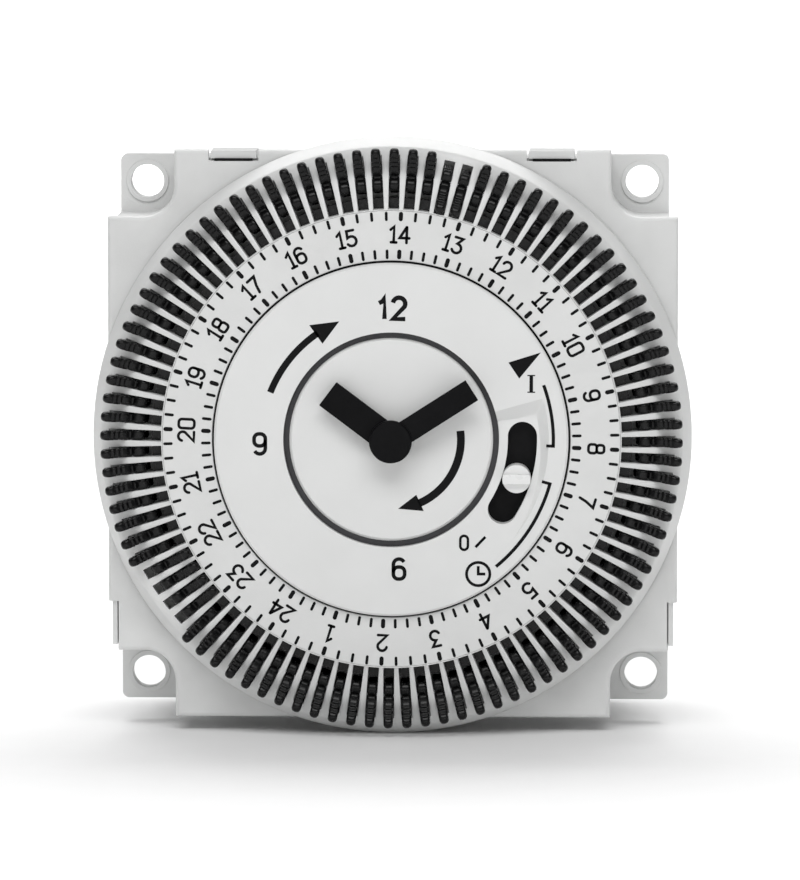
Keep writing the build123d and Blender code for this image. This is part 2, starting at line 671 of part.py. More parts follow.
def centre_wheel():
    wheel = slab(gear_outline(CENTRE_MODULE, CENTRE_TEETH, 0.0, FINE_BACKLASH), *CENTRE_LEVEL)
    wheel += disc(0, 0, 2.2, CENTRE_LEVEL[0] + 0.7, CENTRE_LEVEL[0])
    for spoke in range(5):
        wheel -= disc(*polar(5.3, 72 * spoke), 2.0, CENTRE_LEVEL[0] + 1, CENTRE_LEVEL[1] - 1)
    return wheel - disc(0, 0, MINUTE_ARBOR_R + FIT, CENTRE_LEVEL[0] + 2, CENTRE_LEVEL[1] - 1)


def third_wheel():
    x, z = THIRD_AT
    wheel = slab(Pos(x, z) * gear_outline(THIRD_MODULE, THIRD_TEETH, 0.0, FINE_BACKLASH), *THIRD_LEVEL)
    wheel += slab(
        Pos(x, z) * gear_outline(CENTRE_MODULE, THIRD_PINION_TEETH, THIRD_PINION_PHASE, FINE_BACKLASH),
        THIRD_LEVEL[1],
        CENTRE_LEVEL[1],
    )
    wheel += disc(x, z, 0.8, ARBOR_BACK, PLATE_BACK + 0.2)
    return wheel + disc(x, z, PIVOT_PIN_R, REAR_PLATE_BACK, PLATE_BACK - 0.7)


def rotor_pinion():
    x, z = ROTOR_AT
    pinion = slab(
        Pos(x, z) * gear_outline(THIRD_MODULE, ROTOR_TEETH, ROTOR_PHASE, FINE_BACKLASH),
        THIRD_LEVEL[0] + 0.3,
        THIRD_LEVEL[1] - 0.3,
    )
    pinion += disc(x, z, 0.65, ARBOR_BACK, PLATE_BACK + 0.2)
    return pinion + disc(x, z, PIVOT_PIN_R, REAR_PLATE_BACK, PLATE_BACK - 0.7)


def rotor_magnet():
    return tube(*ROTOR_AT, 2.9, 0.65, 2.0, -0.4)


# ---- motor ----
STATOR = (1.4, 0.2)
STATOR_Z = (ROTOR_AT[1] - 11, ROTOR_AT[1] + 11)
COIL_X = -25.0
COIL_Y = STATOR[0] + 0.6  # the coil lies on the back of the stator
COIL_HALF = 8.0


def motor_stator():
    """Flat two-pole stator with arms that reach the coil's core."""
    x, z = ROTOR_AT
    plate = block((x - 3.9, x + 3.9), STATOR_Z, *STATOR)
    for end in STATOR_Z:
        low, high = sorted((end, end + (2.4 if end < z else -2.4)))
        plate += block((COIL_X - 1.5, x), (low, high), *STATOR)
    plate -= disc(x, z, 3.3, 3, -1)
    for side in (-1, 1):
        plate -= disc(x + side * 2.5, z + side * 2.5, 0.9, 3, -1)
        low, high = sorted((x + side * 3.6, x + side * 4.5))
        plate -= block((low, high), (z - 0.3, z + 0.3), 3, -1)
    return plate


def coil_core():
    z = ROTOR_AT[1]
    return block((COIL_X - 1.5, COIL_X + 1.5), (z - 10.9, z + 10.9), STATOR[0] + 1.2, STATOR[0])


def along_z(x, y, radii, z_low, z_high):
    """Tube along Z with the radii (outer, inner)."""
    ring = Pos(x, y) * (Circle(radii[0]) - Circle(radii[1]))
    return extrude(Plane.XY.offset(z_low) * ring, amount=z_high - z_low, dir=(0, 0, 1))


def coil_bobbin():
    z = ROTOR_AT[1]
    bobbin = along_z(COIL_X, COIL_Y, (1.9, 0.1), z - COIL_HALF, z + COIL_HALF)
    for end in (z - COIL_HALF, z + COIL_HALF - 0.8):
        bobbin += along_z(COIL_X, COIL_Y, (3.6, 0.1), end, end + 0.8)
    core = (COIL_X - 1.55, COIL_X + 1.55), (z - 12, z + 12)
    return bobbin - block(*core, COIL_Y + 0.65, COIL_Y - 0.65)


def coil_winding():
    z = ROTOR_AT[1]
    return along_z(COIL_X, COIL_Y, (3.2, 1.95), z - COIL_HALF + 0.85, z + COIL_HALF - 0.85)


# ---- circuit board ----
def circuit_board():
    board = block((-20.5, 15.0), (-20.5, 20.5), BOARD_BACK, BOARD_FRONT)
    board = fillet(board.edges().filter_by(Axis.Y), 1.5)
    for x, z in BOARD_STUDS:
        board -= disc(x, z, 1.0, BOARD_BACK + 1, BOARD_FRONT - 1)
    return board


def clock_chip():
    body = block((3.0, 13.0), (-19.4, -15.6), BOARD_BACK + 1.6, BOARD_BACK + 0.1)
    for pin in range(8):
        x = 3.6 + 1.27 * pin
        body += block((x - 0.2, x + 0.2), (-20.2, -14.8), BOARD_BACK + 0.4, BOARD_BACK)
    return body


def quartz_crystal():
    can = Plane(origin=(-4, BOARD_BACK + 1.05, 16), z_dir=(1, 0, 0)) * Circle(1.0)
    return extrude(can, amount=6.2, dir=(1, 0, 0))


def film_capacitor():
    body = block((-1.5, 11.5), (5.5, 10.5), BOARD_BACK + 9.5, BOARD_BACK)
    return fillet(body.edges().filter_by(Axis.Y), 0.6)


def smoothing_capacitor():
    can = disc(7.5, -8.0, 4.0, BOARD_BACK + 10, BOARD_BACK)
    return fillet(can.edges().sort_by(Axis.Y)[-1], 0.5)


def reserve_battery():
    cell = disc(-8.0, -10.0, 7.2, BOARD_BACK + 6.0, BOARD_BACK)
    return fillet(cell.edges().sort_by(Axis.Y)[-1], 0.8)


# ---- switch ----
def spade(x, z, front):
    """Flat 6.3 mm terminal with a latching hole and a chamfered end."""
    tab = block((x - SPADE_W / 2, x + SPADE_W / 2), (z - SPADE_T / 2, z + SPADE_T / 2), SPADE_END, front)
    end = tab.faces().sort_by(Axis.Y)[-1]
    tab = chamfer(end.edges().filter_by(Axis.X), 0.25)
    hole = Plane.XY.offset(z - 2) * Pos(x, SPADE_END - 3.2) * Circle(0.85)
    return tab - extrude(hole, amount=4, dir=(0, 0, 1))


def supply_terminals():
    return [spade(x, z, BOARD_BACK) for x, z in SPADES_AT[3:]]


def switch_base():
    """Moulded block that holds the contact strips and the lever's pivot pin."""
    base = block((18.0, 29.2), (-16.0, 19.2), 19.2, 1.2)
    for x in ((23.0, 24.9), (28.0, 29.2)):
        base += block(x, (LEVER_PIVOT_Z - 5.5, LEVER_PIVOT_Z - 2.4), 1.2, -2.6)
        base += block(x, (LEVER_PIVOT_Z - 5.5, LEVER_PIVOT_Z + 2.0), -2.6, LEVER_PIVOT_Y - 1.5)
    base -= along_x(LEVER_PIVOT_Y, LEVER_PIVOT_Z, LEVER_PIN_R + 0.02, 20, 30)
    for x, z in SPADES_AT[:3]:
        base -= block(
            (x - SPADE_W / 2 - 0.05, x + SPADE_W / 2 + 0.05),
            (z - SPADE_T / 2 - 0.05, z + SPADE_T / 2 + 0.05),
            20,
            0,
        )
    return base


def along_x(y, z, r, x_low, x_high):
    rod = Plane(origin=(x_low, y, z), x_dir=(0, 1, 0), z_dir=(1, 0, 0)) * Circle(r)
    return extrude(rod, amount=x_high - x_low, dir=(1, 0, 0))


def lever_pin():
    return along_x(LEVER_PIVOT_Y, LEVER_PIVOT_Z, LEVER_PIN_R, 23.0, 29.2)


def trip_lever():
    """Follows the tappets' tails with its nose, and pushes the contact blade with its peg."""
    back, front = LEVER_PIVOT_Y + LEVER_HALF_T, LEVER_PIVOT_Y - LEVER_HALF_T
    x, z = NOSE_AT
    lever = block(LEVER_X, (LEVER_PIVOT_Z, z + 1.0), back, front)
    lever += along_x(LEVER_PIVOT_Y, LEVER_PIVOT_Z, LEVER_HUB_R, *LEVER_X)
    lever += block((LEVER_X[0], x + 0.8), (z - 1.0, z + 1.0), back, front)
    lever += disc(x, z, NOSE_TIP_R, front, NOSE_FRONT)
    lever += Pos(x, NOSE_FRONT, z) * Sphere(NOSE_TIP_R) & Pos(x, NOSE_FRONT - 0.3, z) * Box(2, 0.8, 2)
    lever += disc(BLADE_X, 4.0, 0.7, BLADE_Y[1] - 0.06, back)
    lever += block((14.2, 25.4), (-7.4, -4.2), back, front)
    return lever - along_x(LEVER_PIVOT_Y, LEVER_PIVOT_Z, LEVER_PIN_R + FIT, 20, 30)


def contact_blade():
    return block(STRIP_X, (LEVER_PIVOT_Z + 0.1, CONTACT_Z + 2.0), *BLADE_Y)


def blade_contact():
    rivet = disc(BLADE_X, CONTACT_Z, CONTACT_R, BLADE_Y[1], BLADE_Y[1] - 0.5)
    return [rivet, disc(BLADE_X, CONTACT_Z, CONTACT_R, BLADE_Y[0] + 0.5, BLADE_Y[0])]


def closed_contact():
    """Normally closed contact, in front of the blade."""
    face = BLADE_Y[1] - 0.55
    back, strip_t, top = face - 0.4, 0.3, 17.0
    strip = disc(BLADE_X, CONTACT_Z, CONTACT_R, face, back)
    strip += block(STRIP_X, (CONTACT_Z - STRIP_HALF, top), back, back - strip_t)
    strip += block(STRIP_X, (top - strip_t, top), 1.2, back)
    strip += block((BLADE_X - 5.6, BLADE_X + STRIP_HALF), (14.6, top), 1.2, 0.8)
    return strip + spade(SWITCH_X, 15.0, 0.8)


def open_contact():
    """Normally open contact, behind the blade."""
    face = -0.72
    strip = disc(BLADE_X, CONTACT_Z, CONTACT_R, face + 0.5, face)
    strip += block((BLADE_X - 5.6, BLADE_X + STRIP_HALF), (3.6, CONTACT_Z + 1.5), 0.2, face + 0.5)
    return strip + spade(SWITCH_X, 4.0, face + 0.5)


def common_terminal():
    strip = block((SWITCH_X - 0.6, BLADE_X + STRIP_HALF), (-11.4, LEVER_PIVOT_Z), *BLADE_Y)
    return strip + spade(SWITCH_X, -11.0, BLADE_Y[0])


def out_tappets():
    moving = IN_SLOTS + OUT_SLOTS_JOINTED
    return [tappet(index, -TAPPET_TILT) for index in range(SLOT_COUNT) if index not in moving]


NODES = {
    "rear_housing": rear_housing,
    "front_frame": front_frame,
    "dial_cap": dial_cap,
    "number_ring": number_ring,
    "dial_base": dial_base,
    "tappet_pivot_ring": tappet_pivot_ring,
    "tappet_carrier": tappet_carrier,
    "out_tappets": out_tappets,
    "face_plate": face_plate,
    "hand_dish": hand_dish,
    "hour_hand": hour_hand,
    "minute_hand": minute_hand,
    "override_slide": override_slide,
    "override_knob": override_knob,
    "detent_spring": detent_spring,
    "bearing_plate": bearing_plate,
    "rear_plate": rear_plate,
    "plate_pillars": plate_pillars,
    "plate_screws": plate_screws,
    "minute_arbor": minute_arbor,
    "clutch_spring": clutch_spring,
    "hour_wheel": hour_wheel,
    "motion_wheel": motion_wheel,
    "dial_drive_gear": dial_drive_gear,
    "centre_wheel": centre_wheel,
    "third_wheel": third_wheel,
    "rotor_pinion": rotor_pinion,
    "rotor_magnet": rotor_magnet,
    "motor_stator": motor_stator,
    "coil_core": coil_core,
    "coil_bobbin": coil_bobbin,
    "coil_winding": coil_winding,
    "circuit_board": circuit_board,
    "clock_chip": clock_chip,
    "quartz_crystal": quartz_crystal,
    "film_capacitor": film_capacitor,
    "smoothing_capacitor": smoothing_capacitor,
    "reserve_battery": reserve_battery,
    "supply_terminals": supply_terminals,
    "switch_base": switch_base,
    "lever_pin": lever_pin,
    "trip_lever": trip_lever,
    "contact_blade": contact_blade,
    "blade_contact": blade_contact,
    "closed_contact": closed_contact,
    "open_contact": open_contact,
    "common_terminal": common_terminal,
}


def export(name, shape):
    """Writes one node; a node of several pieces becomes a group of solids."""
    if isinstance(shape, list):
        shape = Compound(children=shape)
    export_step(shape, os.path.join("parts", name + ".step"))


os.makedirs("parts", exist_ok=True)
for name, make in NODES.items():
    export(name, make())
for slot in IN_SLOTS:
    export(f"tappet_in_{slot:02d}", tappet(slot, TAPPET_TILT))
for slot in OUT_SLOTS_JOINTED:
    export(f"tappet_out_{slot:02d}", tappet(slot, -TAPPET_TILT))
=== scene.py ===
import json
from math import asin, cos, degrees, hypot, pi, radians, sin, sqrt

import bmesh
import bpy
from mathutils import Matrix, Vector

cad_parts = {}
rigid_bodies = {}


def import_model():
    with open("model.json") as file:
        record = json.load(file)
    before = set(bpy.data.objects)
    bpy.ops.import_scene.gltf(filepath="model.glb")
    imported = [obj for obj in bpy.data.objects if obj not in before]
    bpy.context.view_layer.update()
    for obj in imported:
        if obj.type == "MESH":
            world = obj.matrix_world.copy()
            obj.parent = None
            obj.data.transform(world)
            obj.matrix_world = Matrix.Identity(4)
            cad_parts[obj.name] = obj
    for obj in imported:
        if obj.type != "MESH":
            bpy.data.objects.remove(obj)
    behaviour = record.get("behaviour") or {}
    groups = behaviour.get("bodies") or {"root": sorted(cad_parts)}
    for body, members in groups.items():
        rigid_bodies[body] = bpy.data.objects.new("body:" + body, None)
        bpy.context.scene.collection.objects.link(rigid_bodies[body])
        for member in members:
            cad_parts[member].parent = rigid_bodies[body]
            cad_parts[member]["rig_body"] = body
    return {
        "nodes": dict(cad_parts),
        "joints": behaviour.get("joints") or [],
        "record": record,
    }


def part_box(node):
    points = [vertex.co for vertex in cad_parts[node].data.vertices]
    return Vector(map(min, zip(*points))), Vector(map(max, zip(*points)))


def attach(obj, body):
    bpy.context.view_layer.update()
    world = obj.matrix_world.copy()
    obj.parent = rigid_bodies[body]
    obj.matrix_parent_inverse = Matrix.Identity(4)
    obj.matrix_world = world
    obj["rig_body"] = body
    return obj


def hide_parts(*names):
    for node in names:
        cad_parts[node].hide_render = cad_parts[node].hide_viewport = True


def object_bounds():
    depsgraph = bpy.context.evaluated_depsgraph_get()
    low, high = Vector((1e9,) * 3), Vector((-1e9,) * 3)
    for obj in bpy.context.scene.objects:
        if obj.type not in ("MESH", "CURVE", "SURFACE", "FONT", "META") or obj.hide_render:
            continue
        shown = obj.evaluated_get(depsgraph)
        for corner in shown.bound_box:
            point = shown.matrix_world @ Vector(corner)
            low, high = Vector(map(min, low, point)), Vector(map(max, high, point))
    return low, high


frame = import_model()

# Lengths are millimetres until MM turns them into metres; the studio's places are metres. Depths
# are Y values: a more negative depth is nearer the front. Clock angles are degrees, clockwise from
# the top as seen from the front.
MM = 0.001
CAD_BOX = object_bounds()


def extent(node):
    """Lowest and highest corners of a CAD node at rest."""
    low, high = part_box(node)
    return low / MM, high / MM


def joint_place(name):
    """A joint's anchor."""
    joint = next(j for j in frame["joints"] if j["name"] == name)
    return Vector(joint["pos_m"]) / MM


# ---- sizes taken from the frame ----
FACE_FRONT = extent("face_plate")[0].y
DISH_FRONT = extent("hand_dish")[0].y
RING_FRONT, RING_BACK = extent("number_ring")[0].y, extent("number_ring")[1].y
FACE_R = extent("face_plate")[1].x
FRAME_FRONT, FRAME_TOP = extent("front_frame")[0].y, extent("front_frame")[1].z
DIAL_R = extent("dial_cap")[1].x
DIAL_BACK = extent("dial_cap")[1].y
FLOOR_Z = CAD_BOX[0].z / MM

# ---- face and frame ----
DISH_R = 12.2
DISH_HOLE_R = 12.9
DISH_FLANGE = -16.4
# Size and place of the black bars that paint the shade inside the frame's clip slots.
CLIP_X = 19.1
CLIP_SLOT_W, CLIP_SLOT_H = 4.6, 0.34
CLIP_SLOT_DROP = 1.34  # bottom of the clip's slot, below the frame's top edge
# Inner and outer radius, then depth at the back and at the front, of the two black rings of painted
# shade, in the dish's groove and in the gap round the face.
DISH_GROOVE_SHADE = (DISH_R + 0.02, DISH_HOLE_R - 0.03, DISH_FLANGE, DISH_FRONT + 0.3)
FACE_GAP_SHADE = (FACE_R + 0.01, FACE_R + 0.19, RING_BACK + 0.3, RING_FRONT + 0.1)

# ---- dial ----
SLOT_COUNT = 96
SLOT_PITCH = 360 / SLOT_COUNT
SLOT_PHASE = 0.625  # clock angle of the first slot
SLOT_IN_R = 27.5
SLOT_OUT_R = 33.95
SLOT_HALF = 0.65
CAP_IN_R = 26.65
CAP_EDGE = 0.07  # width of the broken edges
CAP_LIP = 0.08  # width and depth of the plain lip inside the slots
CONE_IN_R = SLOT_IN_R - CAP_LIP
CONE_OUT_R = 34.35
CONE_BACK = -15.5
RIB_BACK = -14.2
RIM_IN_R = 34.9
RIM_SIDE_FRONT = -12.98
# Radius and depth along the rim's rounded front, from the cone to the side.
RIM_FRONT = ((34.75, -15.33), (34.98, -15.08), (35.62, -13.72), (35.86, -13.30))

# ---- tappets ----
IN_SLOTS = (3, 4, 61, 62, 63, 64)
OUT_SLOTS_JOINTED = (1, 2, 5, 6, 60, 65)
TILT = 48.0
TAPPET_HALF = 0.565
TAPPET_EDGE = 0.16  # how far its faces round over at the sides
FLAT_SHARE = 0.72  # share of its thickness that stays flat
FINGER_HALF = 0.8
FINGER_TIP = 4.7
FINGER_ROOT = (0.82, 1.1, 1.45)  # points along the smooth part, before the ridges
TIP_LENGTH = 1.1
TIP_ROUND = 0.96  # under 1, so the tip's sides keep a little thickness
RIDGE_START = 1.95
RIDGE_PITCH = 0.72
RIDGE_DEPTH = 0.2
RIDGE_SHARPNESS = 0.7
SHOULDER_R = 0.9
SHOULDER_CENTRE = (-0.07, 1.2)  # along the finger and across it
HUB_CORNER = (-1.02, 0.95)
HUB_R = 1.5
TAIL, TAIL_HALF = 2.5, 0.4
TAIL_CHAMFER, TAIL_END_HALF = 0.25, 0.15
PIVOT = joint_place("tappet_out_01_rock")
PIVOT_R, PIVOT_Y = hypot(PIVOT.x, PIVOT.z), PIVOT.y

# ---- print ----
TOP_HOUR = 14  # the hour whose mark is nearest the top
HOUR_PHASE = 2.5  # clock angle of that mark
PRINT_AND_SHADE_RAISE = 0.02
MITRE_LEAST = 0.5  # stops a sharp corner of a line from growing a long point
HEAD_OVERLAP = 1  # degrees of an arrow's line that run into its head
TICK_W, HOUR_TICK_W = 0.34, 0.5
TICK_ROWS = ((21.62, 22.78), (26.17, 27.3))  # inner and outer radius of each row
RING_NUMBER_R = 24.55
RING_NUMBER = (2.2, 0.33, 0.1)  # height, stroke and gap
# Text, height, stroke and centre of the numbers on the face.
FACE_NUMBERS = (
    ("l2", 3.1, 0.54, (0.2, 15.8)),
    ("9", 2.85, 0.44, (-15.7, -0.5)),
    ("6", 2.85, 0.44, (0.96, -15.5)),
)
FACE_NUMBER_GAP = 0.28
SLIDE_POINTER = [(17.89, 10.55), (15.31, 7.42), (14.03, 9.34)]
ON_MARK = (16.75, 6.79)
ON_MARK_HALF, ON_MARK_W = 1.0, 0.42
ON_SERIF_HALF, ON_SERIF_W = 0.46, 0.14
OFF_MARK = (8.75, -12.32)
OFF_MARK_H, OFF_MARK_W = 2.0, 0.31
SLASH = [(10.11, -12.84), (11.30, -11.60)]
SLASH_W = 0.33
CLOCK_MARK = (10.44, -16.07)
CLOCK_MARK_R, CLOCK_MARK_W = 1.4, 0.34
CLOCK_MARK_HANDS = [(0, 0.95), (0, 0), (0.85, 0)]
# Radius, clock angles of the two ends, hook length, and whether the hook is at the first end.
BRACKETS = ((19.4, 70, 92, 0.85, False), (19.7, 105.3, 140.4, 1.0, True))
BRACKET_W, HOOK_W = 0.4, 0.36
HOOK_OUT = 0.2  # how far the hook passes the bracket's line
# Radius, clock angles of the tail and the tip, line width, head's length and half width.
FACE_ARROW = (15.5, 291.5, 336.5, 0.8, 3.2, 1.36)
DISH_ARROW = (8.35, 82.6, 174.2, 0.94, 2.72, 1.07)

# ---- edges and surfaces ----
WELD = 2e-7  # metres
FLAT_ANGLE = 0.4  # CAD facets that differ by less than this become one
EDGE_ANGLE, CAP_EDGE_ANGLE = 38, 50  # sharper edges than these are broken
MOTTLE_SIZE = 6.0
FLOW_SIZE = 9.0
FLOW_DEPTH = 6  # times the depth of the grain
SHEEN_SPREAD = 0.06


# ---- small geometry helpers ----
def polar(r, clock):
    return r * sin(radians(clock)), r * cos(radians(clock))


def arc(x, z, r, start, end, steps=10):
    """Points on an arc about (x, z), between two clock angles."""
    angles = [start + (end - start) * i / steps for i in range(steps + 1)]
    return [(x + r * sin(radians(a)), z + r * cos(radians(a))) for a in angles]


def turned_clock(point, clock):
    """A point (x, depth, z) turned clockwise about the dial's axis."""
    c, s = cos(radians(clock)), sin(radians(clock))
    return point[0] * c + point[2] * s, point[1], point[2] * c - point[0] * s


def finish_mesh(bm, name):
    bmesh.ops.recalc_face_normals(bm, faces=bm.faces)
    mesh = bpy.data.meshes.new(name)
    bm.to_mesh(mesh)
    bm.free()
    mesh.shade_smooth()
    obj = bpy.data.objects.new(name, mesh)
    bpy.context.scene.collection.objects.link(obj)
    return obj


def sharp_at(obj, angle):
    obj.data.set_sharp_from_angle(angle=radians(angle))
    return obj


def mesh_piece(name, vertices, faces, merge=1e-4):
    """Object from points in millimetres and faces."""
    bm = bmesh.new()
    made = [bm.verts.new(Vector(v) * MM) for v in vertices]
    for face in faces:
        bm.faces.new([made[i] for i in face])
    bmesh.ops.remove_doubles(bm, verts=bm.verts, dist=merge * MM)
    return finish_mesh(bm, name)


def install(obj, body, slot, *replaced):
    """Gives a piece its material, its body and the CAD nodes it stands for."""
    obj.data.materials.append(MATERIALS[slot])
    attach(obj, body)
    if replaced:
        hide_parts(*replaced)
    return obj


# ---- materials ----
def node_input(node, name, value):
    node.inputs[name].default_value = value


class Shader:
    """A Principled material, with helpers that add texture nodes to it."""

    def __init__(self, name, roughness, metallic=0.0, specular=0.5):
        self.material = bpy.data.materials.new(name)
        self.material.use_nodes = True
        self.tree = self.material.node_tree
        self.surface = self.tree.nodes["Principled BSDF"]
        node_input(self.surface, "Roughness", roughness)
        node_input(self.surface, "Metallic", metallic)
        node_input(self.surface, "Specular IOR Level", specular)
        self.place = self.tree.nodes.new("ShaderNodeTexCoord").outputs["Object"]

    def link(self, output, target):
        self.tree.links.new(output, target)

    def noise(self, size, detail=2.0, stretch=(1, 1, 1)):
        """Noise whose features are about size millimetres across."""
        mapping = self.tree.nodes.new("ShaderNodeMapping")
        node_input(mapping, "Scale", stretch)
        self.link(self.place, mapping.inputs["Vector"])
        noise = self.tree.nodes.new("ShaderNodeTexNoise")
        node_input(noise, "Scale", 1 / (size * MM))
        node_input(noise, "Detail", detail)
        self.link(mapping.outputs["Vector"], noise.inputs["Vector"])
        return noise.outputs["Fac"]

    def bands(self, size, axis, distortion=0.0):
        """Parallel bands, size millimetres apart along an axis."""
        wave = self.tree.nodes.new("ShaderNodeTexWave")
        wave.bands_direction = axis
        node_input(wave, "Scale", pi / (10 * size * MM))
        node_input(wave, "Distortion", distortion)
        self.link(self.place, wave.inputs["Vector"])
        return wave.outputs["Fac"]

    def colours(self, factor, low, high, start=0.35, end=0.65):
        """Base colour that follows a factor between two colours."""
        ramp = self.tree.nodes.new("ShaderNodeValToRGB")
        ramp.color_ramp.elements[0].position = start
        ramp.color_ramp.elements[1].position = end
        ramp.color_ramp.elements[0].color = (*low, 1)
        ramp.color_ramp.elements[1].color = (*high, 1)
        self.link(factor, ramp.inputs["Fac"])
        self.link(ramp.outputs["Color"], self.surface.inputs["Base Color"])

    def roughness(self, factor, low, high):
        reach = self.tree.nodes.new("ShaderNodeMapRange")
        node_input(reach, "From Min", 0.3)
        node_input(reach, "From Max", 0.7)
        node_input(reach, "To Min", low)
        node_input(reach, "To Max", high)
        self.link(factor, reach.inputs["Value"])
        self.link(reach.outputs["Result"], self.surface.inputs["Roughness"])

    def bump(self, factor, height, below=None):
        """Bump of a height in millimetres, on top of another bump."""
        bump = self.tree.nodes.new("ShaderNodeBump")
        node_input(bump, "Distance", height * MM)
        self.link(factor, bump.inputs["Height"])
        if below is not None:
            self.link(below, bump.inputs["Normal"])
        self.link(bump.outputs["Normal"], self.surface.inputs["Normal"])
        return bump.outputs["Normal"]


def shaded(colour, factor):
    return tuple(channel * factor for channel in colour)


def plastic(name, colour, roughness, grain, depth, tone=0.03, specular=0.5):
    """Moulded plastic: spark-eroded grain, faint mottling and uneven sheen."""
    shader = Shader(name, roughness, specular=specular)
    mottle = shader.noise(MOTTLE_SIZE, 3.0)
    shader.colours(mottle, shaded(colour, 1 - tone), shaded(colour, 1 + tone))
    fine = shader.noise(grain, 3.0)
    sheen = shader.noise(grain * 3)
    shader.roughness(sheen, roughness - SHEEN_SPREAD, roughness + SHEEN_SPREAD)
    flow = shader.bump(shader.noise(FLOW_SIZE, 1.0), depth * FLOW_DEPTH)
    shader.bump(fine, depth, flow)
    return shader.material


def metal(name, colour, roughness, stretch=(1, 12, 1), depth=0.004, tarnish=0.12):
    """Rolled or drawn metal: lines along one direction and patches of tarnish."""
    shader = Shader(name, roughness, metallic=1.0)
    shader.colours(shader.noise(1.8, 4.0), shaded(colour, 1 - tarnish), colour, 0.3, 0.6)
    lines = shader.noise(0.5, 3.0, stretch)
    shader.roughness(lines, roughness - 0.08, roughness + 0.1)
    shader.bump(lines, depth)
    return shader.material


def copper_winding():
    shader = Shader("copper_wire", 0.28, metallic=1.0)
    turns = shader.bands(0.12, "Z", 0.6)
    shader.colours(turns, (0.36, 0.10, 0.03), (0.80, 0.34, 0.15), 0.1, 0.7)
    shader.bump(turns, 0.04)
    return shader.material


def circuit_laminate():
    """Green solder mask over a weave, with lighter copper tracks showing through."""
    shader = Shader("board_green", 0.3)
    tracks = shader.bands(1.9, "X", 1.4)
    shader.colours(tracks, (0.016, 0.10, 0.035), (0.035, 0.19, 0.06), 0.55, 0.62)
    weave = shader.bump(shader.bands(0.5, "Z"), 0.006)
    shader.bump(tracks, 0.03, weave)
    return shader.material


LIGHT = (0.72, 0.725, 0.72)
MATERIALS = {
    "housing_grey": plastic("housing_grey", (0.66, 0.665, 0.66), 0.46, 0.22, 0.012, 0.03),
    "frame_grey": plastic("frame_grey", (0.66, 0.665, 0.66), 0.44, 0.25, 0.014, 0.035),
    "dial_grey": plastic("dial_grey", (0.68, 0.685, 0.68), 0.40, 0.20, 0.006, 0.02),
    "face_white": plastic("face_white", LIGHT, 0.42, 0.20, 0.005, 0.012),
    "tappet_black": plastic("tappet_black", (0.0015, 0.0015, 0.0018), 0.28, 0.16, 0.002, 0.2, 0.26),
    "hand_black": plastic("hand_black", (0.003, 0.003, 0.0035), 0.5, 0.18, 0.012, 0.25, 0.1),
    "slide_black": plastic("slide_black", (0.003, 0.003, 0.0035), 0.5, 0.2, 0.012, 0.2, 0.12),
    "knob_white": plastic("knob_white", (0.78, 0.785, 0.78), 0.3, 0.4, 0.004, 0.01),
    "movement_plastic": plastic("movement_plastic", (0.56, 0.56, 0.52), 0.45, 0.25, 0.01),
    "gear_plastic": plastic("gear_plastic", (0.70, 0.67, 0.56), 0.32, 0.3, 0.006),
    "lever_plastic": plastic("lever_plastic", (0.62, 0.59, 0.47), 0.36, 0.3, 0.008),
    "switch_plastic": plastic("switch_plastic", (0.022, 0.022, 0.025), 0.5, 0.2, 0.012, 0.15),
    "component_black": plastic("component_black", (0.012, 0.012, 0.015), 0.36, 0.25, 0.01, 0.15),
    "board_green": circuit_laminate(),
    "copper_wire": copper_winding(),
    "spring_steel": metal("spring_steel", (0.56, 0.56, 0.58), 0.26),
    "steel_part": metal("steel_part", (0.60, 0.60, 0.62), 0.32, (1, 1, 8)),
    "magnet": metal("magnet", (0.10, 0.10, 0.105), 0.55, (1, 1, 1), 0.02, 0.3),
    "tinned_brass": metal("tinned_brass", (0.74, 0.72, 0.64), 0.27, (14, 1, 1), 0.005, 0.2),
    "contact_bronze": metal("contact_bronze", (0.62, 0.36, 0.16), 0.28, (12, 1, 1)),
    "contact_silver": metal("contact_silver", (0.80, 0.80, 0.81), 0.18, (1, 1, 1), 0.003, 0.1),
}
# Near-black for the print, also used for the painted shade in the frame's clip slots.
PRINT_AND_SHADE_BLACK = plastic("print_and_shade_black", (0.004, 0.004, 0.0045), 0.55, 0.1, 0.004, 0.3, 0.12)


# ---- CAD nodes ----
def refined(node, bevel, slot, segments=2):
    """The CAD shape with its edges broken, as a moulding or a pressing has them."""
    body = frame["nodes"][node]["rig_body"]
    bm = bmesh.new()
    bm.from_mesh(frame["nodes"][node].data)
    bmesh.ops.remove_doubles(bm, verts=bm.verts, dist=WELD)
    flat = radians(FLAT_ANGLE)
    bmesh.ops.dissolve_limit(bm, angle_limit=flat, verts=bm.verts, edges=bm.edges)
    obj = finish_mesh(bm, node + ".body")
    edge = obj.modifiers.new("edges", "BEVEL")
    edge.width = bevel * MM
    edge.segments = segments
    edge.angle_limit = radians(EDGE_ANGLE)
    edge.use_clamp_overlap = True
    obj.modifiers.new("normals", "WEIGHTED_NORMAL").keep_sharp = True
    return install(obj, body, slot, node)


def carried_over():
    """Every CAD node takes its procedural material, whether or not a piece stands for it."""
    for subpart in frame["record"]["subparts"]:
        node = frame["nodes"][subpart["node"]]
        for entry in node.material_slots:
            entry.material = MATERIALS[subpart["material_slot"]]


# ---- dial ----
def cone_depth(r):
    return RING_FRONT + (r - CONE_IN_R) * (CONE_BACK - RING_FRONT) / (CONE_OUT_R - CONE_IN_R)


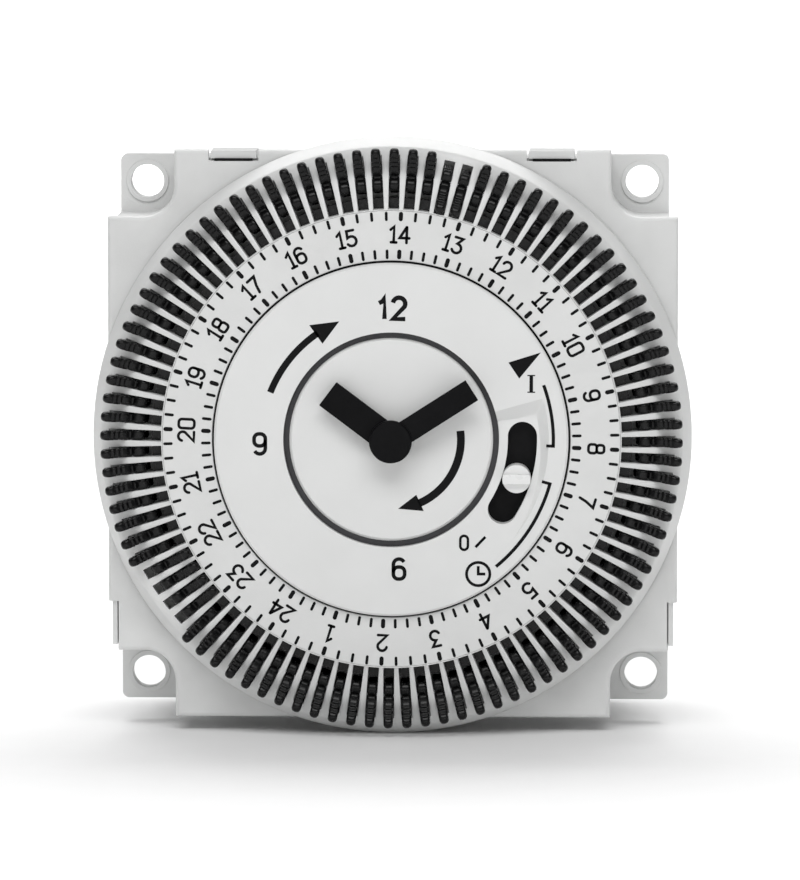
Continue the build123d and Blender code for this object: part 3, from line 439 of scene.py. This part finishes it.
def cap_rows(stations):
    """The cap's profile, closed: radius, depth, and 1 where the slot is open."""
    rows = [
        (CAP_IN_R, RIB_BACK, 0), (CAP_IN_R, RING_BACK, 0), (CONE_IN_R, RING_BACK, 0),
        (CONE_IN_R, RING_FRONT + CAP_LIP, 0), (CONE_IN_R + CAP_EDGE, RING_FRONT, 0),
    ]
    rows += [(r, cone_depth(r), 1) for r in stations]
    rows.append((CONE_OUT_R, CONE_BACK, 0))
    rows += [(r, depth, 0) for r, depth in RIM_FRONT]
    rows += [(DIAL_R, RIM_SIDE_FRONT, 0), (DIAL_R, DIAL_BACK, 0)]
    rows += [(RIM_IN_R, DIAL_BACK, 0), (RIM_IN_R, RIB_BACK, 0)]
    return rows + [(r, RIB_BACK, 1) for r in reversed(stations)]


def cap_cell():
    """Vertices and faces of the cap over one slot's pitch."""
    inner, steps = SLOT_IN_R + CAP_EDGE, 6
    stations = [inner + (SLOT_OUT_R - SLOT_IN_R - CAP_EDGE) * i / steps for i in range(steps + 1)]
    rows = cap_rows(stations)
    vertices, faces = [], []
    for r, y, _ in rows:
        edge = degrees(asin(SLOT_HALF / r))
        for angle in (-SLOT_PITCH / 2, -edge, 0, edge, SLOT_PITCH / 2):
            x, z = polar(r, angle)
            vertices.append((x, y, z))
    columns, slot_sides = 5, (1, 3)
    for row in range(len(rows)):
        after = (row + 1) % len(rows)
        open_here = rows[row][2] and rows[after][2]
        for column in range(columns - 1):
            if open_here and slot_sides[0] <= column < slot_sides[1]:
                continue
            a, b = row * columns + column, after * columns + column
            faces.append((a, a + 1, b + 1, b))
    slotted = [i for i, row in enumerate(rows) if row[2]]
    top, bottom = slotted[: len(stations)], slotted[len(stations):][::-1]
    for column in slot_sides:
        for i in range(steps):
            corners = (top[i], top[i + 1], bottom[i + 1], bottom[i])
            faces.append(tuple(row * columns + column for row in corners))
    for i in (0, steps):
        for column in range(*slot_sides):
            a, b = top[i] * columns + column, bottom[i] * columns + column
            faces.append((a, a + 1, b + 1, b))
    return vertices, faces


def dial_cap():
    """Rim, cone and 96 slots: one cell, repeated round the dial."""
    cell_vertices, cell_faces = cap_cell()
    vertices, faces = [], []
    for cell in range(SLOT_COUNT):
        offset = len(vertices)
        vertices += [turned_clock(v, SLOT_PHASE + SLOT_PITCH * cell) for v in cell_vertices]
        faces += [tuple(i + offset for i in face) for face in cell_faces]
    cap = mesh_piece("dial_cap.slotted", vertices, faces)
    edge = cap.modifiers.new("edges", "BEVEL")
    edge.width = CAP_EDGE * MM
    edge.segments = 2
    edge.angle_limit = radians(CAP_EDGE_ANGLE)
    cap.modifiers.new("normals", "WEIGHTED_NORMAL")
    return install(cap, "dial", "dial_grey", "dial_cap")


# ---- tappets ----
def finger_half(v):
    """Half width of the ridged finger at a distance along it."""
    if v < RIDGE_START:
        return FINGER_HALF
    wave = 0.5 - 0.5 * cos(2 * pi * (v - RIDGE_START) / RIDGE_PITCH)
    return FINGER_HALF - RIDGE_DEPTH * wave**RIDGE_SHARPNESS


def tappet_outline():
    """Outline of a tappet in (along the finger, across it): finger, two shoulders, tail."""
    tip_centre = FINGER_TIP - FINGER_HALF
    steps = 24
    along = list(FINGER_ROOT)
    along += [RIDGE_START + (tip_centre - RIDGE_START) * i / steps for i in range(steps)]
    finger = [(v, finger_half(v)) for v in along]
    finger += [
        (tip_centre + (FINGER_TIP - tip_centre) * sin(a), finger_half(tip_centre) * cos(a))
        for a in (radians(90 * i / 8) for i in range(8))
    ]
    finger.append((FINGER_TIP, 0))
    v, b = SHOULDER_CENTRE
    shoulder = [
        (v + SHOULDER_R * cos(radians(a)), b + SHOULDER_R * sin(radians(a)))
        for a in range(180, -21, -20)
    ]
    tail = [(-TAIL, TAIL_END_HALF), (-TAIL + TAIL_CHAMFER, TAIL_HALF)]
    tail += [(-HUB_R, TAIL_HALF), HUB_CORNER]
    half = tail + shoulder + finger
    return half + [(v, -b) for v, b in reversed(half[:-1])]


def tappet_mesh(outline):
    """Vertices and faces of one tappet: the outline in layers, rounded at its edges and tip."""
    count = len(outline)
    layers = []
    for share in (-1, -0.93, -FLAT_SHARE, -0.4, 0, 0.4, FLAT_SHARE, 0.93, 1):
        across = TAPPET_HALF * share
        inset = TAPPET_EDGE * max(0, (abs(share) - FLAT_SHARE) / (1 - FLAT_SHARE)) ** 2
        drop = sqrt(max(0, TAPPET_HALF**2 - (TIP_ROUND * across) ** 2))
        round_tip = FINGER_TIP - TAPPET_HALF + drop
        layers.append((across, inset, round_tip))
    vertices, faces = [], []
    start = FINGER_TIP - TIP_LENGTH
    for across, inset, round_tip in layers:
        for i, (v, b) in enumerate(outline):
            before, after = outline[i - 1], outline[(i + 1) % count]
            run = Vector((after[0] - before[0], after[1] - before[1]))
            normal = Vector((-run.y, run.x)).normalized()
            v, b = v + normal.x * -inset, b + normal.y * -inset
            if v > start:
                v = start + (v - start) * (round_tip - start) / (FINGER_TIP - start)
            vertices.append((across, v, b))
    for layer in range(len(layers) - 1):
        for i in range(count):
            j = (i + 1) % count
            low, high = layer * count, (layer + 1) * count
            faces.append((low + i, low + j, high + j, high + i))
    faces.append(tuple(range(count)))
    faces.append(tuple(reversed(range((len(layers) - 1) * count, len(layers) * count))))
    return vertices, faces


def placed_tappet(vertices, tilt, clock):
    """Moves tappet points (across, along, front or back) to their slot."""
    c, s = cos(radians(tilt)), sin(radians(tilt))
    points = []
    for across, along, side in vertices:
        outward = along * s - side * c
        forward = along * c + side * s
        points.append(turned_clock((across, PIVOT_Y - forward, PIVOT_R + outward), clock))
    return points


def tappets():
    vertices, faces = tappet_mesh(tappet_outline())
    jointed = {slot: ("in", -TILT) for slot in IN_SLOTS}
    jointed.update({slot: ("out", TILT) for slot in OUT_SLOTS_JOINTED})
    fixed_vertices, fixed_faces = [], []
    for slot in range(SLOT_COUNT):
        state, tilt = jointed.get(slot, ("out", TILT))
        points = placed_tappet(vertices, tilt, SLOT_PHASE + SLOT_PITCH * slot)
        if slot in jointed:
            node = f"tappet_{state}_{slot:02d}"
            install(mesh_piece(node + ".ridged", points, faces), node, "tappet_black", node)
        else:
            offset = len(fixed_vertices)
            fixed_vertices += points
            fixed_faces += [tuple(i + offset for i in face) for face in faces]
    rest = mesh_piece("out_tappets.ridged", fixed_vertices, fixed_faces)
    install(rest, "dial", "tappet_black", "out_tappets")


# ---- print ----
def ribbon(points, width, closed=False, round_ends=True):
    """Faces, as lists of (x, z), of a line of even width through some points."""
    count = len(points)
    left, right = [], []
    for i, (x, z) in enumerate(points):
        before = points[i - 1] if closed or i else points[0]
        after = points[(i + 1) % count] if closed or i < count - 1 else points[-1]
        a = Vector((x - before[0], z - before[1]))
        b = Vector((after[0] - x, after[1] - z))
        a = b if a.length < 1e-9 else a
        b = a if b.length < 1e-9 else b
        a, b = a.normalized(), b.normalized()
        mitre = (a + b).normalized()
        reach = width / 2 / max(MITRE_LEAST, mitre.dot(a))
        left.append((x - mitre.y * reach, z + mitre.x * reach))
        right.append((x + mitre.y * reach, z - mitre.x * reach))
    spans = range(count) if closed else range(count - 1)
    faces = [[left[i], left[(i + 1) % count], right[(i + 1) % count], right[i]] for i in spans]
    if round_ends and not closed:
        faces.append(round_end(left[0], right[0]))
        faces.append(round_end(right[-1], left[-1]))
    return faces


def round_end(first, last, steps=6):
    """Half disc that closes a ribbon between its two end points."""
    centre = ((first[0] + last[0]) / 2, (first[1] + last[1]) / 2)
    arm = (first[0] - centre[0], first[1] - centre[1])
    turn = [radians(180 * i / steps) for i in range(steps + 1)]
    return [
        (centre[0] + arm[0] * cos(t) - arm[1] * sin(t), centre[1] + arm[1] * cos(t) + arm[0] * sin(t))
        for t in turn
    ]


def moved(faces, x, z, clock=0.0, scale=1.0):
    """Faces scaled, turned clockwise and then shifted."""
    c, s = cos(radians(clock)) * scale, sin(radians(clock)) * scale
    return [[(x + px * c + pz * s, z + pz * c - px * s) for px, pz in face] for face in faces]


def ink(name, body, shapes, depth):
    """Flat black shapes raised a little from a face at some depth: print, and the painted shade at the
    frame's clip slots.
    """
    bm = bmesh.new()
    for shape in shapes:
        points = [Vector((x, depth - PRINT_AND_SHADE_RAISE, z)) * MM for x, z in shape]
        bm.faces.new([bm.verts.new(p) for p in points])
    bmesh.ops.remove_doubles(bm, verts=bm.verts, dist=1e-3 * MM)
    grown = bmesh.ops.extrude_face_region(bm, geom=bm.faces[:])["geom"]
    sunk = [v for v in grown if isinstance(v, bmesh.types.BMVert)]
    bmesh.ops.translate(bm, verts=sunk, vec=Vector((0, 2 * PRINT_AND_SHADE_RAISE, 0)) * MM)
    obj = sharp_at(finish_mesh(bm, name), 30)
    obj.data.materials.append(PRINT_AND_SHADE_BLACK)
    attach(obj, body)
    return obj


def rounded_loop(half_w, low, high, r):
    """Closed rounded rectangle between two heights."""
    points = arc(half_w - r, high - r, r, 0, 90, 5) + arc(half_w - r, low + r, r, 90, 180, 5)
    return points + arc(r - half_w, low + r, r, 180, 270, 5) + arc(r - half_w, high - r, r, 270, 360, 5)


# Digits on a body one unit high: half width, open lines, closed loops. The letters stand for
# the one without a foot and the round nought that the face has.
DIGITS = {
    "0": (0.29, [], [rounded_loop(0.29, 0, 1, 0.2)]),
    "1": (0.17, [[(-0.19, 0.8), (0.03, 1), (0.03, 0)], [(-0.14, 0), (0.2, 0)]], []),
    "2": (0.29, [arc(0, 0.71, 0.29, -80, 118) + [(-0.29, 0), (0.29, 0)]], []),
    "3": (0.28, [[(-0.25, 1), (0.26, 1), (-0.02, 0.62)] + arc(0, 0.31, 0.3, 12, 245)], []),
    "4": (0.31, [[(0.14, 0), (0.14, 1)], [(0.12, 1), (-0.3, 0.3), (0.31, 0.3)]], []),
    "5": (0.28, [[(0.24, 1), (-0.2, 1), (-0.22, 0.56)] + arc(0, 0.32, 0.31, -28, 240)], []),
    "6": (0.28, [arc(0, 0.72, 0.28, 62, -90) + [(-0.28, 0.3)]], [rounded_loop(0.28, 0, 0.6, 0.24)]),
    "7": (0.28, [[(-0.28, 1), (0.28, 1), (0.02, 0.45), (-0.1, 0)]], []),
    "8": (0.28, [], [rounded_loop(0.28, 0, 0.53, 0.18), rounded_loop(0.25, 0.53, 1, 0.17)]),
    "9": (0.28, [arc(0, 0.28, 0.28, 242, 90) + [(0.28, 0.7)]], [rounded_loop(0.28, 0.4, 1, 0.24)]),
    "l": (0.14, [[(-0.19, 0.74), (-0.02, 0.82), (0.07, 1), (0.07, 0)]], []),
    "O": (0.27, [], [rounded_loop(0.27, 0, 1, 0.27)]),
}


def number(text, height, stroke, gap, round_ends=True):
    """Faces of a number centred on the origin, height from edge to edge."""
    scale = height - stroke
    widths = [2 * DIGITS[digit][0] * scale + stroke for digit in text]
    left = -(sum(widths) + gap * (len(text) - 1)) / 2
    faces = []
    for digit, width in zip(text, widths):
        centre = left + width / 2
        left += width + gap
        for line in DIGITS[digit][1]:
            path = [(centre + x * scale, (z - 0.5) * scale) for x, z in line]
            faces += ribbon(path, stroke, round_ends=round_ends)
        for loop in DIGITS[digit][2]:
            path = [(centre + x * scale, (z - 0.5) * scale) for x, z in loop]
            faces += ribbon(path, stroke, closed=True)
    return faces


def ring_print():
    shapes = []
    for quarter in range(SLOT_COUNT):
        clock = HOUR_PHASE + SLOT_PITCH * quarter
        width = HOUR_TICK_W if quarter % 4 == 0 else TICK_W
        for low, high in TICK_ROWS:
            ends = [(0, low + width / 2), (0, high - width / 2)]
            shapes += moved(ribbon(ends, width), 0, 0, clock)
    for hour in range(1, 25):
        clock = HOUR_PHASE + (TOP_HOUR - hour) * 15
        shapes += moved(number(str(hour), *RING_NUMBER), *polar(RING_NUMBER_R, clock), clock)
    ink("number_ring.print", "dial", shapes, RING_FRONT)


def curved_arrow(r, start, tip, line_w, head_length, head_half):
    """Arc with an arrow head whose point is at the clock angle tip."""
    neck = tip - degrees(head_length / r)
    shapes = ribbon(arc(0, 0, r, start, neck + HEAD_OVERLAP, 20), line_w, round_ends=False)
    shapes.append([polar(r, tip), polar(r + head_half, neck), polar(r - head_half, neck)])
    return shapes


def bracket(r, start, end, hook, hook_at_start):
    """Thin arc with a short hook towards the centre at one end."""
    angle = start if hook_at_start else end
    line = arc(0, 0, r, start, end, 16)
    foot = [polar(r + HOOK_OUT, angle), polar(r - hook, angle)]
    return ribbon(line, BRACKET_W, round_ends=False) + ribbon(foot, HOOK_W, round_ends=False)


def on_mark():
    """The bar of the ON position, with thin serifs."""
    x, z = ON_MARK
    stem = [(x, z - ON_MARK_HALF), (x, z + ON_MARK_HALF)]
    shapes = ribbon(stem, ON_MARK_W, round_ends=False)
    for x, z in stem:
        serif = [(x - ON_SERIF_HALF, z), (x + ON_SERIF_HALF, z)]
        shapes += ribbon(serif, ON_SERIF_W, round_ends=False)
    return shapes


def clock_mark():
    """The small clock of the timed position."""
    circle = arc(0, 0, CLOCK_MARK_R, 0, 345, 23)
    shapes = moved(ribbon(circle, CLOCK_MARK_W, closed=True), *CLOCK_MARK)
    return shapes + moved(ribbon(CLOCK_MARK_HANDS, CLOCK_MARK_W, round_ends=False), *CLOCK_MARK)


def face_print():
    shapes = []
    for text, height, stroke, centre in FACE_NUMBERS:
        digits = number(text, height, stroke, FACE_NUMBER_GAP, round_ends=False)
        shapes += moved(digits, *centre)
    shapes.append(SLIDE_POINTER)
    shapes += on_mark()
    for place in BRACKETS:
        shapes += bracket(*place)
    shapes += moved(number("O", OFF_MARK_H, OFF_MARK_W, 0), *OFF_MARK)
    shapes += ribbon(SLASH, SLASH_W, round_ends=False)
    shapes += clock_mark()
    shapes += curved_arrow(*FACE_ARROW)
    ink("face_plate.print", "housing", shapes, FACE_FRONT)
    ink("hand_dish.print", "housing", curved_arrow(*DISH_ARROW), DISH_FRONT)


# ---- painted shade in gaps and slots ----
def dark_ring(name, slot, inner, outer, back, front):
    """Black ring in the gap between two round parts: painted shade where the gap lies in shadow."""
    corners = [(inner, back), (outer, back), (outer, front), (inner, front)]
    steps = 192
    vertices, faces = [], []
    for step in range(steps):
        x, z = polar(1, 360 * step / steps)
        vertices += [(r * x, y, r * z) for r, y in corners]
        after = (step + 1) % steps
        for i in range(4):
            j = (i + 1) % 4
            faces.append((4 * step + i, 4 * step + j, 4 * after + j, 4 * after + i))
    ring = sharp_at(mesh_piece(name, vertices, faces), 30)
    return install(ring, "housing", slot)


def dark_gaps():
    # Near-black ring in the groove round the hand dish: painted shade where the groove's walls lie in
    # shadow.
    dark_ring("hand_dish.groove_shade", "switch_plastic", *DISH_GROOVE_SHADE)
    # Black ring in the narrow gap round the face: painted shade in the gap.
    dark_ring("face_plate.gap_shade", "slide_black", *FACE_GAP_SHADE)
    # Flat black bars at the frame's clip slots: painted shade inside the thin slots.
    slot_shades = []
    low = FRAME_TOP - CLIP_SLOT_DROP
    high = low + CLIP_SLOT_H
    for side in (-1, 1):
        left, right = side * CLIP_X - CLIP_SLOT_W / 2, side * CLIP_X + CLIP_SLOT_W / 2
        slot_shades.append([(left, low), (right, low), (right, high), (left, high)])
    ink("front_frame.clip_slot_shade", "housing", slot_shades, FRAME_FRONT)


# ---- assembly ----
def build():
    carried_over()
    refined("rear_housing", 0.25, "housing_grey")
    refined("front_frame", 0.18, "frame_grey")
    refined("number_ring", 0.08, "dial_grey")
    refined("face_plate", 0.09, "face_white")
    refined("hand_dish", 0.06, "face_white")
    refined("hour_hand", 0.1, "hand_black")
    refined("minute_hand", 0.1, "hand_black")
    refined("override_knob", 0.16, "knob_white", 3)
    refined("supply_terminals", 0.08, "tinned_brass")
    dial_cap()
    tappets()
    refined("tappet_carrier", 0.05, "tappet_black")
    ring_print()
    face_print()
    dark_gaps()


# ---- light, floor and camera, in metres ----
def area_light(name, place, aim, size, power, spread=180.0):
    data = bpy.data.lights.new(name, "AREA")
    data.spread = radians(spread)
    data.shape = "RECTANGLE"
    data.size, data.size_y = size
    data.energy = power
    obj = bpy.data.objects.new(name, data)
    obj.location = Vector(place)
    obj.rotation_euler = (Vector(aim) - Vector(place)).to_track_quat("-Z", "Y").to_euler()
    bpy.context.scene.collection.objects.link(obj)


def studio():
    area_light("key_top", (0.0, -0.60, 0.66), (0, 0, 0), (0.8, 0.35), 4.3)
    area_light("backdrop_light", (0.0, 1.7, 1.3), (0, 1.7, 0), (4.0, 2.6), 66.0, 110.0)
    area_light("low_fill", (0.0, -0.9, 0.02), (0, 0, -0.01), (1.4, 0.12), 1.1)
    area_light("rim_back", (0.0, 0.5, 0.6), (0, 0, 0), (0.8, 0.3), 1.5)
    world = bpy.data.worlds.new("studio")
    world.use_nodes = True
    node_input(world.node_tree.nodes["Background"], "Color", (1, 1, 1, 1))
    node_input(world.node_tree.nodes["Background"], "Strength", 0.22)
    bpy.context.scene.world = world
    bm = bmesh.new()
    bmesh.ops.create_grid(bm, x_segments=1, y_segments=1, size=4.0)
    bmesh.ops.translate(bm, verts=bm.verts, vec=(0, 0, FLOOR_Z * MM))
    floor = finish_mesh(bm, "floor")
    paint = plastic("floor_white", (0.93, 0.93, 0.93), 0.7, 3.0, 0.002, 0.004)
    floor.data.materials.append(paint)


def camera():
    azimuth, elevation, distance = radians(1.6), radians(5.6), 0.9
    right, up = 0.56 * MM, -1.8 * MM
    data = bpy.data.cameras.new("camera")
    data.sensor_width, data.lens, data.clip_start = 36.0, 301.8, 0.05
    obj = bpy.data.objects.new("camera", data)
    away = Vector((sin(azimuth) * cos(elevation), -cos(azimuth) * cos(elevation), sin(elevation)))
    turn = away.to_track_quat("Z", "Y")
    shift = turn @ Vector((right, up, 0))
    obj.matrix_world = Matrix.Translation(away * distance + shift) @ turn.to_matrix().to_4x4()
    bpy.context.scene.collection.objects.link(obj)
    bpy.context.scene.camera = obj
    bpy.context.scene.view_settings.view_transform = "Standard"


build()
studio()
camera()
